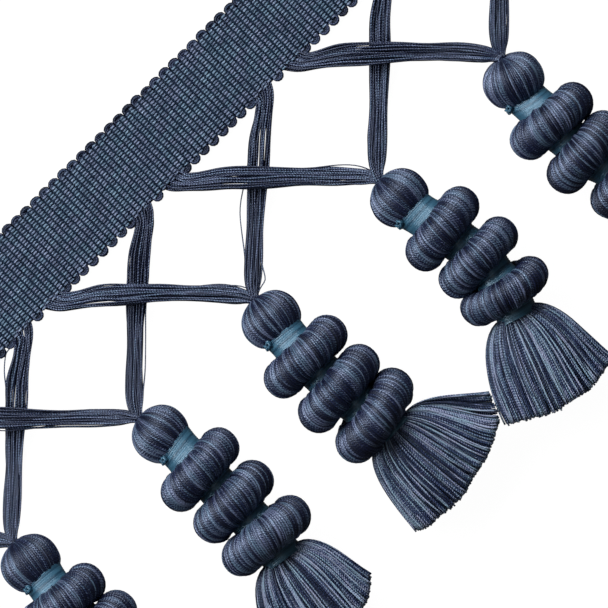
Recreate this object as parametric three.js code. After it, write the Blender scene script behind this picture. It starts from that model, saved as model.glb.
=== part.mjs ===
// Tassel fringe trim: a ribbed woven heading, a trellis of yarn hanks, and five bound tassels of one
// ball, three rings and a cut skirt each. It lies on its back on a flat surface.
// Millimetres. +X runs along the heading, -Y points from the heading to the tassels, +Z is up.
// The origin is the middle of the heading's back face, under the middle tassel's station.

import * as THREE from 'three';
import { mergeVertices } from 'three/addons/utils/BufferGeometryUtils.js';

// ---------------------------------------------------------------- driving dimensions

const GAP = 0.3; // between pieces that touch in the real trim

const RIB_PITCH = 1.79; // one weft rib of the heading
const RIBS_PER_LOOP = 2; // the weft turns round two ribs at each edge loop
const LOOPS_PER_REPEAT = 13; // one loop at the station, then 2 for a hank, 8 loops, 2 for a hank
const LOOPS_PER_HANK = 2;
const LOOP_PITCH = RIB_PITCH * RIBS_PER_LOOP;
const TASSEL_PITCH = LOOP_PITCH * LOOPS_PER_REPEAT;
const TASSEL_COUNT = 5;

const HEADING = {
  halfWidth: 11.15, // the woven band without its edge loops
  loopDepth: 1.65,
  loopCrown: 0.6, // the flat crown of an edge loop, as a share of the loop's pitch
  thickness: 2.2,
  endLoops: 1, // loops past the last hank at each cut end
};

const NECK_RADIUS = 6.1; // the bound core between ball, rings and skirt

// Profiles are pairs of shares: of the radius, then of the height above or below the widest circle.
const BALL = {
  top: 7.1,
  bottom: 5.8,
  sides: 12,
  upper: [[0, 1], [0.4, 0.96], [0.74, 0.7], [0.94, 0.34]],
  lower: [[1, 0.06], [0.95, 0.52], [0.84, 0.84]],
};
const RING = {
  dimple: 4.2, // half the height where the binding meets it
  dimpleRadius: 6.6,
  sides: 14,
  profile: [[0.63, 1], [0.84, 0.85], [0.965, 0.52], [1, 0.2]],
};
const BINDING_SIDES = 12;

// Each tassel from the left end. x is measured from the tassel's own station, y from the heading's
// middle line. tilt turns a piece on the surface and lean turns its upper end up, in degrees. Of a
// skirt, left, middle and right are on the hem, tip is where its last strands are cut off short, and
// flare and flick are the degrees that strands turn out at the neck and at the hem. sway is how far a
// hank lies aside of its line, and spread its share of the usual width, near the heading and the ball.
const TASSELS = [
  {
    ball: { x: -2.6, y: -57.4, z: 11.4, radius: 8.2, tilt: -3, lean: -5 },
    rings: [
      { x: -4.2, y: -71.6, radius: 13.3, crest: 5.2, tilt: -5, lean: 0 },
      { x: -3.2, y: -84.0, radius: 13.4, crest: 5.2, tilt: 3, lean: 0 },
      { x: -2.6, y: -96.8, radius: 13.8, crest: 5.3, tilt: -4, lean: 3 },
    ],
    skirt: { neck: [-2.0, -104.0], tilt: -3, flare: [84, 76], flick: [2, 0, 4],
      left: [-16.8, -127.2], middle: [-2.4, -131.2], right: [12.8, -126.4] },
    hanks: { right: { sway: [0, 0], spread: [1, 1] }, left: { sway: [-1.2, 0.9], spread: [1, 1] } },
  },
  {
    ball: { x: 0.9, y: -57.4, z: 11.2, radius: 8.0, tilt: 10, lean: -4 },
    rings: [
      { x: 1.6, y: -72.4, radius: 13.4, crest: 5.1, tilt: 4, lean: 0 },
      { x: 1.8, y: -85.1, radius: 13.4, crest: 5.3, tilt: 2, lean: 0 },
      { x: 1.5, y: -98.1, radius: 14.1, crest: 5.3, tilt: -6, lean: 0 },
    ],
    skirt: { neck: [0.9, -105.6], tilt: -8, flare: [90, 70], flick: [5, 0, 16],
      left: [-18.4, -122.2], middle: [-1.4, -131.4], right: [14.8, -126.0] },
    hanks: { right: { sway: [0, -0.8], spread: [1, 0.9] },
      left: { sway: [-0.5, 0], spread: [1.08, 0.92] } },
  },
  {
    ball: { x: -2.0, y: -56.9, z: 11.4, radius: 8.4, tilt: -5, lean: -5 },
    rings: [
      { x: -2.7, y: -71.0, radius: 13.7, crest: 5.1, tilt: 0, lean: 0 },
      { x: -2.3, y: -83.6, radius: 14.2, crest: 5.2, tilt: 5, lean: 0 },
      { x: -0.6, y: -95.7, radius: 14.5, crest: 5.2, tilt: 11, lean: 6 },
    ],
    skirt: { neck: [0.9, -102.4], tilt: 3, flare: [90, 90], flick: [-3, 11, 58],
      left: [-15.2, -126.2], middle: [3.1, -127.8], right: [25.2, -119.9], tip: [26.4, -113.4] },
    hanks: { right: { sway: [0.8, 0.9], spread: [1.03, 0.93] },
      left: { sway: [0.3, 0.3], spread: [1.12, 0.92] } },
  },
  {
    ball: { x: -0.3, y: -58.0, z: 11.0, radius: 8.2, tilt: 2, lean: -3 },
    rings: [
      { x: 2.0, y: -72.7, radius: 13.2, crest: 5.1, tilt: 8, lean: 0 },
      { x: 3.5, y: -85.2, radius: 13.2, crest: 4.8, tilt: 2, lean: 0 },
      { x: 2.1, y: -96.85, radius: 13.4, crest: 4.4, tilt: -12, lean: 7 },
    ],
    skirt: { neck: [-0.4, -104.2], tilt: -17, flare: [90, 50], flick: [-16, -15, 14],
      left: [-23.6, -122.5], middle: [-7.6, -130.9], right: [10.8, -131.2] },
    hanks: { right: { sway: [0.2, -0.1], spread: [1.05, 1.15] },
      left: { sway: [-0.2, 0.8], spread: [0.9, 1.2] } },
  },
  {
    ball: { x: -1.9, y: -57.7, z: 11.8, radius: 8.5, tilt: -14, lean: 12 },
    rings: [
      { x: -2.8, y: -73.0, radius: 13.2, crest: 5.1, tilt: -4, lean: 0 },
      { x: -2.0, y: -85.5, radius: 13.2, crest: 5.2, tilt: 5, lean: 0 },
      { x: 1.4, y: -98.1, radius: 13.0, crest: 5.1, tilt: 12, lean: 3 },
    ],
    skirt: { neck: [2.8, -105.8], tilt: 8, flare: [72, 82], flick: [-1, 5, 11],
      left: [-11.4, -127.6], middle: [5.2, -131.0], right: [20.8, -125.8] },
    hanks: { right: { sway: [1.1, 1.1], spread: [1, 1.25] },
      left: { sway: [0, 0.2], spread: [1, 1.15] } },
  },
];

const SKIRT = {
  hemHeight: 15, // the springy brush stays about as high as it leaves the neck
  neckDrop: 0.6, // from the middle of the last ring down to the middle of the neck
  droop: 1.5, // the power of the drop from the neck to the hem
  turnOut: 0.3, // how far strands keep their way at the neck, as a share of their reach
  turnIn: 0.28, // and at the hem
  cutFrom: 0.9, // from here to the right edge, the strands are cut off towards the tip
  rows: 6,
  sides: 14,
};

// One hank, from the heading's edge down to the knot on top of a ball. along and down are measured
// from the station that it leaves, turn is the angle of its width in degrees, and under and over are
// the heights of its middle line where it passes below or above the hank that it crosses.
const HANK_ROWS = [
  { along: 5.6, down: 11.45, turn: 0, halfWidth: 2.9, halfDepth: 0.9, under: 1.1, over: 1.1 },
  { along: 6.7, down: 13.4, turn: 10, halfWidth: 2.0, halfDepth: 1.0, under: 1.2, over: 1.4 },
  { along: 8.7, down: 15.2, turn: 36, halfWidth: 2.4, halfDepth: 1.1, under: 1.3, over: 2.2 },
  { along: 15.4, down: 19.8, turn: 48, halfWidth: 3.1, halfDepth: 1.1, under: 1.3, over: 4.0 },
  { along: 20.9, down: 24.7, turn: 46, halfWidth: 3.1, halfDepth: 1.1, under: 1.3, over: 4.6 },
  { along: 27.3, down: 30.5, turn: 45, halfWidth: 2.7, halfDepth: 1.1, under: 1.6, over: 4.8 },
  { along: 33.0, down: 35.9, turn: 45, halfWidth: 2.4, halfDepth: 1.1, under: 3.2, over: 5.2 },
  { along: 39.0, down: 41.5, turn: 42, halfWidth: 2.3, halfDepth: 1.2, under: 6.2, over: 7.0 },
  { along: 43.2, down: 46.0, turn: 32, halfWidth: 1.7, halfDepth: 1.3, under: 9.2, over: 9.3 },
];
const HANK_END = { halfWidth: 0.95, halfDepth: 1.1, offset: 1.15, rise: 1.0 }; // from the ball's pole
const HANK_KNOT = { along: TASSEL_PITCH - 1.2, down: 49.0 }; // the knot that HANK_ROWS is drawn to
const HANK_SECTION = [[1, 0], [0.6, 1], [-0.6, 1], [-1, 0], [-0.6, -1], [0.6, -1]]; // of its half sizes

const YARN = new THREE.MeshStandardMaterial({ color: '#3a4a63', roughness: 0.85, metalness: 0 });
const WOVEN_YARN = new THREE.MeshStandardMaterial({ color: '#46566d', roughness: 0.88, metalness: 0 });
const SATIN_THREAD = new THREE.MeshStandardMaterial({ color: '#3d627c', roughness: 0.4, metalness: 0 });

// ---------------------------------------------------------------- helpers

const radians = THREE.MathUtils.degToRad;

/** A mesh with faces outwards from triangles of either direction. */
function solid(name, geometry, material) {
  const position = geometry.getAttribute('position');
  const index = geometry.getIndex();
  const corner = [new THREE.Vector3(), new THREE.Vector3(), new THREE.Vector3()];
  let volume = 0;
  for (let i = 0; i < index.count; i += 3) {
    corner.forEach((c, j) => c.fromBufferAttribute(position, index.getX(i + j)));
    volume += corner[0].dot(corner[1].clone().cross(corner[2]));
  }
  if (volume < 0) {
    for (let i = 0; i < index.count; i += 3) {
      const first = index.getX(i);
      index.setX(i, index.getX(i + 1));
      index.setX(i + 1, first);
    }
  }
  geometry.computeVertexNormals();
  const mesh = new THREE.Mesh(geometry, material);
  mesh.name = name;
  return mesh;
}

/** A closed skin over sections with the same number of points, with a fan on each end. */
function loft(sections) {
  const sides = sections[0].length;
  const points = sections.flat();
  const faces = [];
  for (let row = 0; row + 1 < sections.length; row += 1) {
    for (let side = 0; side < sides; side += 1) {
      const next = (side + 1) % sides;
      const [a, b] = [row * sides + side, row * sides + next];
      faces.push(a, b, b + sides, a, b + sides, a + sides);
    }
  }
  for (const end of [0, sections.length - 1]) {
    const middle = points.length;
    const sum = sections[end].reduce((total, p) => total.add(p), new THREE.Vector3());
    points.push(sum.divideScalar(sides));
    for (let side = 0; side < sides; side += 1) {
      const pair = [end * sides + side, end * sides + ((side + 1) % sides)];
      faces.push(middle, ...(end === 0 ? pair.reverse() : pair));
    }
  }
  return new THREE.BufferGeometry().setFromPoints(points).setIndex(faces);
}

/** A turned solid about its own Y axis, with one flat side facing down. */
function turned(profile, sides) {
  const points = profile.map(([radius, height]) => new THREE.Vector2(radius, height));
  return new THREE.LatheGeometry(points, sides, Math.PI / sides);
}

/** Puts a mesh at x, y and z with its tilt on the surface and its lean out of it. */
function place(mesh, x, y, z, tilt, lean) {
  mesh.position.set(x, y, z);
  mesh.rotation.set(radians(lean), 0, radians(tilt), 'ZXY');
  mesh.updateMatrix();
  return mesh;
}

/** Lowers a mesh until its lowest point lies on the surface. */
function rest(mesh) {
  const box = new THREE.Box3().setFromBufferAttribute(
    mesh.geometry.clone().applyMatrix4(mesh.matrix).getAttribute('position'),
  );
  mesh.position.z -= box.min.z;
  mesh.updateMatrix();
  return mesh;
}

/** A circle of a mesh's own frame at a height on its axis. */
function circleOn(mesh, radius, height, sides) {
  return Array.from({ length: sides }, (_, side) => {
    const angle = (side * 2 * Math.PI) / sides;
    const point = new THREE.Vector3(radius * Math.cos(angle), height, radius * Math.sin(angle));
    return point.applyMatrix4(mesh.matrix);
  });
}

// ---------------------------------------------------------------- heading

const stationX = (station) => station * TASSEL_PITCH;
const OUTER_TASSEL = (TASSEL_COUNT - 1) / 2;
const LAST_STATION = OUTER_TASSEL + 1; // one station past the outer tassels holds their hanks
const HALF_LOOPS = LAST_STATION * LOOPS_PER_REPEAT + HEADING.endLoops + 0.5;

/** Whether a loop of the lower edge is left out because a hank leaves the heading there. */
function isHankPlace(loop) {
  const station = Math.round(loop / LOOPS_PER_REPEAT);
  const fromStation = loop - station * LOOPS_PER_REPEAT;
  const near = fromStation !== 0 && Math.abs(fromStation) <= LOOPS_PER_HANK;
  return near && Math.abs(station + Math.sign(fromStation)) <= OUTER_TASSEL;
}

/** The woven band with the weft's turns as small rounds along both edges. */
function headingGeometry() {
  const shape = new THREE.Shape();
  const halfLength = HALF_LOOPS * LOOP_PITCH;
  const firstLoop = -Math.floor(HALF_LOOPS);
  const crown = (HEADING.loopCrown * LOOP_PITCH) / 2;
  const edge = (side) => {
    const points = [];
    for (let loop = firstLoop; loop <= -firstLoop; loop += 1) {
      const middle = loop * LOOP_PITCH;
      points.push([middle - LOOP_PITCH / 2, HEADING.halfWidth]);
      if (side > 0 || !isHankPlace(loop)) {
        points.push([middle - crown, HEADING.halfWidth + HEADING.loopDepth]);
        points.push([middle + crown, HEADING.halfWidth + HEADING.loopDepth]);
      }
    }
    points.push([halfLength, HEADING.halfWidth]);
    return points.map(([x, y]) => new THREE.Vector2(x, side * y));
  };
  shape.setFromPoints([...edge(-1), ...edge(1).reverse()]);
  const band = new THREE.ExtrudeGeometry(shape, { depth: HEADING.thickness, bevelEnabled: false });
  band.deleteAttribute('normal');
  band.deleteAttribute('uv');
  return mergeVertices(band);
}

// ---------------------------------------------------------------- tassels

function ballGeometry({ radius }) {
  const { top, bottom, sides, upper, lower } = BALL;
  const profile = [
    ...upper.map(([r, h]) => [r * radius, h * top]),
    ...lower.map(([r, h]) => [r * radius, -h * bottom]),
    [NECK_RADIUS + GAP, -bottom],
    [0, -bottom],
  ];
  return turned(profile, sides);
}

function ringGeometry({ radius, crest }) {
  const half = [
    [0, RING.dimple],
    [RING.dimpleRadius, RING.dimple],
    ...RING.profile.map(([r, h]) => [r * radius, h * crest]),
  ];
  const mirrored = half.map(([r, y]) => [r, -y]).reverse();
  return turned([...half, ...mirrored], RING.sides);
}

/** Thread wound between two pieces, from one face to the other. */
function bindingGeometry(upper, upperFace, lower, lowerFace) {
  return loft([
    circleOn(upper, NECK_RADIUS, -upperFace - GAP, BINDING_SIDES),
    circleOn(lower, NECK_RADIUS, lowerFace + GAP, BINDING_SIDES),
  ]);
}

/** The cut brush: strands curve out of a round neck, droop a little and end at a bowed hem. */
function skirtGeometry(neck, { flare, flick, left, middle, right, tip = right }, x) {
  const bowed = (w, a, b, c) => b + (w * (c - a)) / 2 + w * w * ((a + c) / 2 - b);
  const way = (degrees) => new THREE.Vector3(Math.sin(radians(degrees)), -Math.cos(radians(degrees)), 0);
  const hem = (w) => {
    const cut = THREE.MathUtils.clamp((w - SKIRT.cutFrom) / (1 - SKIRT.cutFrom), 0, 1);
    return [0, 1].map((i) => THREE.MathUtils.lerp(bowed(w, left[i], middle[i], right[i]), tip[i], cut));
  };
  const sections = [];
  for (let row = 0; row <= SKIRT.rows; row += 1) {
    const s = row / SKIRT.rows;
    sections.push(Array.from({ length: SKIRT.sides }, (_, side) => {
      const angle = (side * 2 * Math.PI) / SKIRT.sides;
      const [w, up] = [Math.cos(angle), Math.sin(angle)];
      const start = new THREE.Vector3(NECK_RADIUS * w, 0, NECK_RADIUS * up)
        .applyMatrix4(neck.matrix);
      const [hemX, hemY] = hem(w);
      const end = new THREE.Vector3(x + hemX, hemY, (SKIRT.hemHeight / 2) * (1 + up));
      const reach = Math.hypot(end.x - start.x, end.y - start.y);
      const out = way(w * flare[w < 0 ? 0 : 1]).multiplyScalar(SKIRT.turnOut * reach).add(start);
      const back = way(bowed(w, ...flick)).multiplyScalar(-SKIRT.turnIn * reach).add(end);
      const point = new THREE.CubicBezierCurve3(start, out, back, end).getPoint(s);
      point.z = THREE.MathUtils.lerp(start.z, end.z, s ** SKIRT.droop);
      return point;
    }));
  }
  return loft(sections);
}

/** One tassel, from the ball down. */
function tassel(number, spec) {
  const x = stationX(number - (TASSEL_COUNT + 1) / 2);
  const group = new THREE.Group();
  const ball = solid(`ball_${number}`, ballGeometry(spec.ball), YARN);
  place(ball, x + spec.ball.x, spec.ball.y, spec.ball.z, spec.ball.tilt, spec.ball.lean);
  const rings = spec.rings.map((ring, i) => {
    const mesh = solid(`ring_${number}_${i + 1}`, ringGeometry(ring), YARN);
    return rest(place(mesh, x + ring.x, ring.y, ring.radius, ring.tilt, ring.lean));
  });
  const neck = new THREE.Object3D();
  const lastRing = rings[rings.length - 1];
  const [neckX, neckY] = spec.skirt.neck;
  place(neck, x + neckX, neckY, lastRing.position.z - SKIRT.neckDrop, spec.skirt.tilt, 0);
  const skirt = solid(`skirt_${number}`, skirtGeometry(neck, spec.skirt, x), YARN);

  const chain = [[ball, BALL.bottom, 0], ...rings.map((ring) => [ring, RING.dimple, RING.dimple])];
  const bindings = chain.map(([upper, face], i) => {
    const [lower, , lowerFace] = chain[i + 1] ?? [neck, 0, 0];
    const wound = bindingGeometry(upper, face, lower, lowerFace);
    return solid(`binding_${number}_${i + 1}`, wound, SATIN_THREAD);
  });
  group.add(ball, ...rings, ...bindings, skirt);
  return { group, ball };
}

// ---------------------------------------------------------------- hanks

/** A flat bundle of parallel yarns. side is 1 where it runs towards +X on its way down. */
function hankGeometry(station, side, ball, { sway, spread }) {
  const knot = new THREE.Vector3(-side * HANK_END.offset, BALL.top + HANK_END.rise, 0)
    .applyMatrix4(ball.matrix);
  const origin = stationX(station);
  const shiftX = knot.x - (origin + side * HANK_KNOT.along);
  const shiftY = knot.y + HANK_KNOT.down;
  const rows = HANK_ROWS.map((row) => {
    const share = (row.down - HANK_ROWS[0].down) / (HANK_KNOT.down - HANK_ROWS[0].down);
    const bow = Math.sin(Math.PI * share);
    const aside = THREE.MathUtils.lerp(...sway, share) * bow;
    const wider = 1 + (THREE.MathUtils.lerp(...spread, share) - 1) * bow;
    const middle = new THREE.Vector3(
      origin + side * row.along + share * shiftX,
      -row.down + share * shiftY,
      side > 0 ? row.over : row.under,
    ).add(new THREE.Vector3(1, side, 0).setLength(1).multiplyScalar(aside));
    return { ...row, halfWidth: row.halfWidth * wider, middle };
  });
  rows.push({ ...HANK_END, middle: knot, turn: 0 });
  return loft(rows.map(({ middle, turn, halfWidth, halfDepth }) => {
    const across = new THREE.Vector3(Math.cos(radians(turn)), side * Math.sin(radians(turn)), 0);
    return HANK_SECTION.map(([w, h]) => across.clone().multiplyScalar(w * halfWidth)
      .add(new THREE.Vector3(0, 0, h * halfDepth)).add(middle));
  }));
}

// ---------------------------------------------------------------- assembly

const trim = new THREE.Group();
trim.add(solid('heading', headingGeometry(), WOVEN_YARN));

TASSELS.forEach((spec, i) => {
  const number = i + 1;
  const { group, ball } = tassel(number, spec);
  trim.add(group);
  const station = number - LAST_STATION;
  trim.add(solid(`hank_right_${number}`, hankGeometry(station - 1, 1, ball, spec.hanks.right), YARN));
  trim.add(solid(`hank_left_${number}`, hankGeometry(station + 1, -1, ball, spec.hanks.left), YARN));
});

export default trim;
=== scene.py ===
"""Tassel fringe trim: a rep-woven heading, a trellis of loose yarn hanks and five bound yarn tassels.

Sizes and places are worked out in millimetres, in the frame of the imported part, and make_piece turns
them to metres. +X runs along the heading, -Y from the heading to the tassels, +Z up off the surface.
"""
import math

import bpy
import numpy as np
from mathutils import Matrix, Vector


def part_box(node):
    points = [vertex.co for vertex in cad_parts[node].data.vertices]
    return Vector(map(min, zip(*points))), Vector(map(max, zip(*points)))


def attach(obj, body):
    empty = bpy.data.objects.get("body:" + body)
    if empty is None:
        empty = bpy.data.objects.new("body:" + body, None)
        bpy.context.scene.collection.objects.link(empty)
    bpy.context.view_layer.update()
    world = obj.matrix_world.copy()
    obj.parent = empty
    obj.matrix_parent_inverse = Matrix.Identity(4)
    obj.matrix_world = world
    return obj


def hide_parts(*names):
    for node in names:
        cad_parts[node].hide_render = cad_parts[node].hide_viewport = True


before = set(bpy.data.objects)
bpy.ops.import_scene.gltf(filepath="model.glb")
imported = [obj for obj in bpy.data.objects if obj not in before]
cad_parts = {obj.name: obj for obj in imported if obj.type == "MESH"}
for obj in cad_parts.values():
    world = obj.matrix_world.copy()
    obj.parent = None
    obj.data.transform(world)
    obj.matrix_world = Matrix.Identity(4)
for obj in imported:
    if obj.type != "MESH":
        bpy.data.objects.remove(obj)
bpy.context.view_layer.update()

METRE = 1000.0  # millimetres in a metre

# -------- sizes of the yarns and the weave

YARN = 0.63  # thickness of the two-ply trimming yarn
TWIST = 1.5  # length of one turn of its two plies
WEFT = 0.84  # thickness of the weft yarn that turns at the heading's edges
YARN_SIDES = 5

RIBS_PER_LOOP = 2
LOOPS_PER_REPEAT = 13
LOOPS_PER_HANK = 2
RIBS = 162  # weft ribs in the whole heading
WARP_ENDS = 26  # warp yarns side by side across the heading
TASSELS = 5
NECK = 6.1  # radius of the bound core

SIDES_PER_YARN = 4  # columns of a wound surface that make one yarn's round back
RING_YARNS = 120
BALL_YARNS = 84
SUNK = 0.4  # the surface's own level under the form's, which its highest yarns reach
GATHER = 0.1  # height of each of the sines that gather the wound yarns into groups

# Every yarn has a number, which picks its shade. These are where the numbers of each sort of piece start.
WEFT_NUMBERS, RING_NUMBERS, BALL_NUMBERS, SKIRT_NUMBERS, HANK_NUMBERS = 200, 1000, 6000, 8000, 12000
WOUND_EACH, SKIRT_EACH, HANK_EACH = 137, 600, 40  # numbers set aside for one such piece


# -------- reading the frame


def box(node):
    """Lowest and highest corner of a part of the frame, in millimetres."""
    low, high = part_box(node)
    return np.array(low) * METRE, np.array(high) * METRE


heading_low, heading_high = box("heading")
RIB_PITCH = (heading_high[0] - heading_low[0]) / RIBS
LOOP_PITCH = RIB_PITCH * RIBS_PER_LOOP
TASSEL_PITCH = LOOP_PITCH * LOOPS_PER_REPEAT
LOOP_DEPTH = 1.65  # how far the edge loops stand off the cloth
HALF_WIDTH = heading_high[1] - LOOP_DEPTH  # of the cloth
THICKNESS = heading_high[2] - heading_low[2]


def station_x(tassel):
    """Place along the heading of a tassel's own station. The middle tassel's is 0."""
    return (tassel - (TASSELS + 1) / 2) * TASSEL_PITCH


def unit(vector):
    """A vector, or each vector of an array, made one unit long."""
    return vector / np.linalg.norm(vector, axis=-1, keepdims=True)


def corners(node):
    """All corners of a part of the frame, in millimetres."""
    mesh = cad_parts[node].data
    flat = np.empty(len(mesh.vertices) * 3)
    mesh.vertices.foreach_get("co", flat)
    return flat.reshape(-1, 3) * METRE


def end_face(node, side):
    """Middle and outward direction of the largest flat that faces up (side 1) or down (-1) a tassel.

    Faces that point that way are on one flat where their normals agree within 2 degrees.
    """
    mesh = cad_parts[node].data
    count = len(mesh.polygons)
    normal, centre, area = np.empty(count * 3), np.empty(count * 3), np.empty(count)
    mesh.polygons.foreach_get("normal", normal)
    mesh.polygons.foreach_get("center", centre)
    mesh.polygons.foreach_get("area", area)
    normal, centre = normal.reshape(-1, 3), centre.reshape(-1, 3) * METRE
    facing = normal[:, 1] * side > 0.8
    normal, centre, area = normal[facing], centre[facing], area[facing]
    alike = normal @ normal.T > math.cos(math.radians(2))
    flat = alike[(alike @ area).argmax()]
    weight = area[flat, None] / area[flat].sum()
    return (centre[flat] * weight).sum(0), unit((normal[flat] * weight).sum(0))


def reach_from(node, middle, axis):
    """How far a piece's corners reach from a point: square to an axis, and along it."""
    away = corners(node) - middle
    along = away @ axis
    return np.linalg.norm(away - along[:, None] * axis, axis=1).max(), np.abs(along).max()


def across(axis):
    """Two directions square to an axis up a tassel: to its right, and up off the surface."""
    right = unit(np.cross(axis, (0.0, 0.0, 1.0)))
    return right, np.cross(right, axis)


# -------- meshes from arrays


def make_piece(name, points, faces, uv, material, nodes, slot):
    """One smooth-shaded mesh from corners (mm), four-cornered faces and a UV for each face corner.

    A face whose last two corners are the same is a triangle.
    """
    triangle = faces[:, 2] == faces[:, 3]
    keep = np.ones(faces.shape, bool)
    keep[:, 3] = ~triangle
    loops = faces[keep]
    total = keep.sum(1)
    mesh = bpy.data.meshes.new(name)
    mesh.vertices.add(len(points))
    mesh.vertices.foreach_set("co", (points / METRE).astype(np.float32).ravel())
    mesh.loops.add(len(loops))
    mesh.loops.foreach_set("vertex_index", loops.astype(np.int32))
    mesh.polygons.add(len(faces))
    mesh.polygons.foreach_set("loop_start", np.concatenate([[0], np.cumsum(total)[:-1]]).astype(np.int32))
    mesh.polygons.foreach_set("use_smooth", np.ones(len(faces), bool))
    mesh.uv_layers.new(name="yarn").data.foreach_set("uv", uv[keep].astype(np.float32).ravel())
    mesh.update(calc_edges=True)
    mesh.validate()
    piece = bpy.data.objects.new(name, mesh)
    bpy.context.scene.collection.objects.link(piece)
    mesh.materials.append(material)
    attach(piece, "root")
    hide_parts(*nodes)
    return piece


def joined(parts):
    """Several (points, faces, uv) as one."""
    first = np.cumsum([0] + [len(points) for points, _, _ in parts[:-1]])
    return (
        np.concatenate([points for points, _, _ in parts]),
        np.concatenate([faces + start for (_, faces, _), start in zip(parts, first)]),
        np.concatenate([uv for _, _, uv in parts]),
    )


def wound_skin(grid, u, v):
    """Closed skin over rows of points round an axis, grid[row, column], with a fan on both ends.

    u has one more value than there are columns and v[row, column] too, so a pattern meets at the seam.
    """
    rows, columns = grid.shape[:2]
    row, column = np.meshgrid(np.arange(rows - 1), np.arange(columns), indexing="ij")
    after = (column + 1) % columns
    quad = [(row, column, column), (row, after, column + 1), (row + 1, after, column + 1),
            (row + 1, column, column)]
    faces = np.stack([r * columns + c for r, c, _ in quad], -1).reshape(-1, 4)
    uv = np.stack([np.stack([u[c], v[r, c]], -1) for r, _, c in quad], -2).reshape(-1, 4, 2)
    middles = np.stack([grid[0].mean(0), grid[-1].mean(0)])
    c = np.arange(columns)
    after = (c + 1) % columns
    fans, fan_uv = [], []
    for end, (one, two) in ((0, (after, c)), (rows - 1, (c, after))):
        pole = np.full(columns, rows * columns + (end > 0))
        fans.append(np.stack([end * columns + one, end * columns + two, pole, pole], -1))
        side = [c + (one is after), c + (two is after)]
        edge = [np.stack([u[s], v[end, s]], -1) for s in side]
        fan_uv.append(np.stack([*edge, (edge[0] + edge[1]) / 2, (edge[0] + edge[1]) / 2], -2))
    points = np.concatenate([grid.reshape(-1, 3), middles])
    return points, np.concatenate([faces, *fans]), np.concatenate([uv, *fan_uv])


def yarn_tubes(paths, radius, first_number, sides=YARN_SIDES, from_end=False):
    """Round yarns along paths[yarn, step], closed with a fan at both ends.

    A corner is the path's point + radius (cos angle times a side direction + sin angle times a second
    one). The side direction is square to the path and level. u is the yarn's number plus the share of
    the way round it, v the length along it in millimetres, which from_end makes 0 at its end and
    negative before. radius may be one number or [yarn, step].
    """
    yarns, steps = paths.shape[:2]
    along = unit(np.gradient(paths, axis=1))
    level = np.cross(along, (0.0, 0.0, 1.0))
    level = unit(level + 1e-6)  # not zero, even where a yarn stands upright
    second = np.cross(level, along)
    angle = np.arange(sides) * 2 * np.pi / sides
    size = np.broadcast_to(radius, (yarns, steps))[:, :, None, None]
    ring = np.cos(angle)[:, None] * level[:, :, None] + np.sin(angle)[:, None] * second[:, :, None]
    skin = paths[:, :, None] + size * ring
    length = np.concatenate(
        [np.zeros((yarns, 1)), np.cumsum(np.linalg.norm(np.diff(paths, axis=1), axis=-1), 1)], 1)
    if from_end:
        length = length - length[:, -1:]
    per_yarn = steps * sides + 2
    points = np.concatenate([skin.reshape(yarns, -1, 3), paths[:, :1], paths[:, -1:]], 1).reshape(-1, 3)
    row, side = np.meshgrid(np.arange(steps - 1), np.arange(sides), indexing="ij")
    after = (side + 1) % sides
    quad = np.stack([row * sides + side, (row + 1) * sides + side,
                     (row + 1) * sides + after, row * sides + after], -1).reshape(-1, 4)
    quad_row = np.stack([row, row + 1, row + 1, row], -1).reshape(-1, 4)
    quad_u = np.stack([side, side, side + 1, side + 1], -1).reshape(-1, 4)
    s = np.arange(sides)
    after = (s + 1) % sides
    tip = np.full(sides, steps * sides)
    last = (steps - 1) * sides
    fan = np.concatenate([np.stack([s, after, tip, tip], -1),
                          np.stack([last + after, last + s, tip + 1, tip + 1], -1)])
    fan_row = np.concatenate([np.zeros((sides, 4), int), np.full((sides, 4), steps - 1)])
    fan_u = np.concatenate([np.stack([s, s + 1, s, s], -1), np.stack([s + 1, s, s, s], -1)])
    faces = np.concatenate([quad, fan])
    rows, around = np.concatenate([quad_row, fan_row]), np.concatenate([quad_u, fan_u])
    offset = (np.arange(yarns) * per_yarn)[:, None, None]
    number = first_number + np.arange(yarns)[:, None, None]
    u = number + around[None] / sides * 0.998  # short of the next yarn's number
    v = length[:, rows]
    return points, (faces[None] + offset).reshape(-1, 4), np.stack([u, v], -1).reshape(-1, 4, 2)


def smooth_rows(table, count):
    """count rows along a smooth curve through the rows of a table (Catmull-Rom, even in row number)."""
    table = np.asarray(table, float)
    padded = np.concatenate([[2 * table[0] - table[1]], table, [2 * table[-1] - table[-2]]])
    place = np.linspace(0, len(table) - 1, count)
    start = np.minimum(place.astype(int), len(table) - 2)
    t = (place - start)[:, None]
    a, b, c, d = (padded[start + k] for k in range(4))
    return 0.5 * (2 * b + (c - a) * t + (2 * a - 5 * b + 4 * c - d) * t**2
                  + (3 * b - a - 3 * c + d) * t**3)


def waves(rng, count, places, cycles):
    """count smooth random curves between about -1 and 1 at places from 0 to 1: three sines each."""
    total = np.zeros((count, len(places)))
    for k in range(1, 4):
        phase = rng.uniform(0, 2 * np.pi, (count, 1))
        total += rng.normal(0, 0.5, (count, 1)) * np.sin(2 * np.pi * cycles * k / 3 * places + phase)
    return total


# -------- materials


def linear(hex_colour):
    """An sRGB hex colour as linear red, green and blue with an opaque alpha."""
    parts = [int(hex_colour[i:i + 2], 16) / 255 for i in (1, 3, 5)]
    return [p / 12.92 if p <= 0.04045 else ((p + 0.055) / 1.055) ** 2.4 for p in parts] + [1.0]


# Settings of the math nodes that come up more than once.
MULTIPLY, MULTIPLY_ADD = {"operation": "MULTIPLY"}, {"operation": "MULTIPLY_ADD"}
SINE, FLOOR = {"operation": "SINE"}, {"operation": "FLOOR"}


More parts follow.
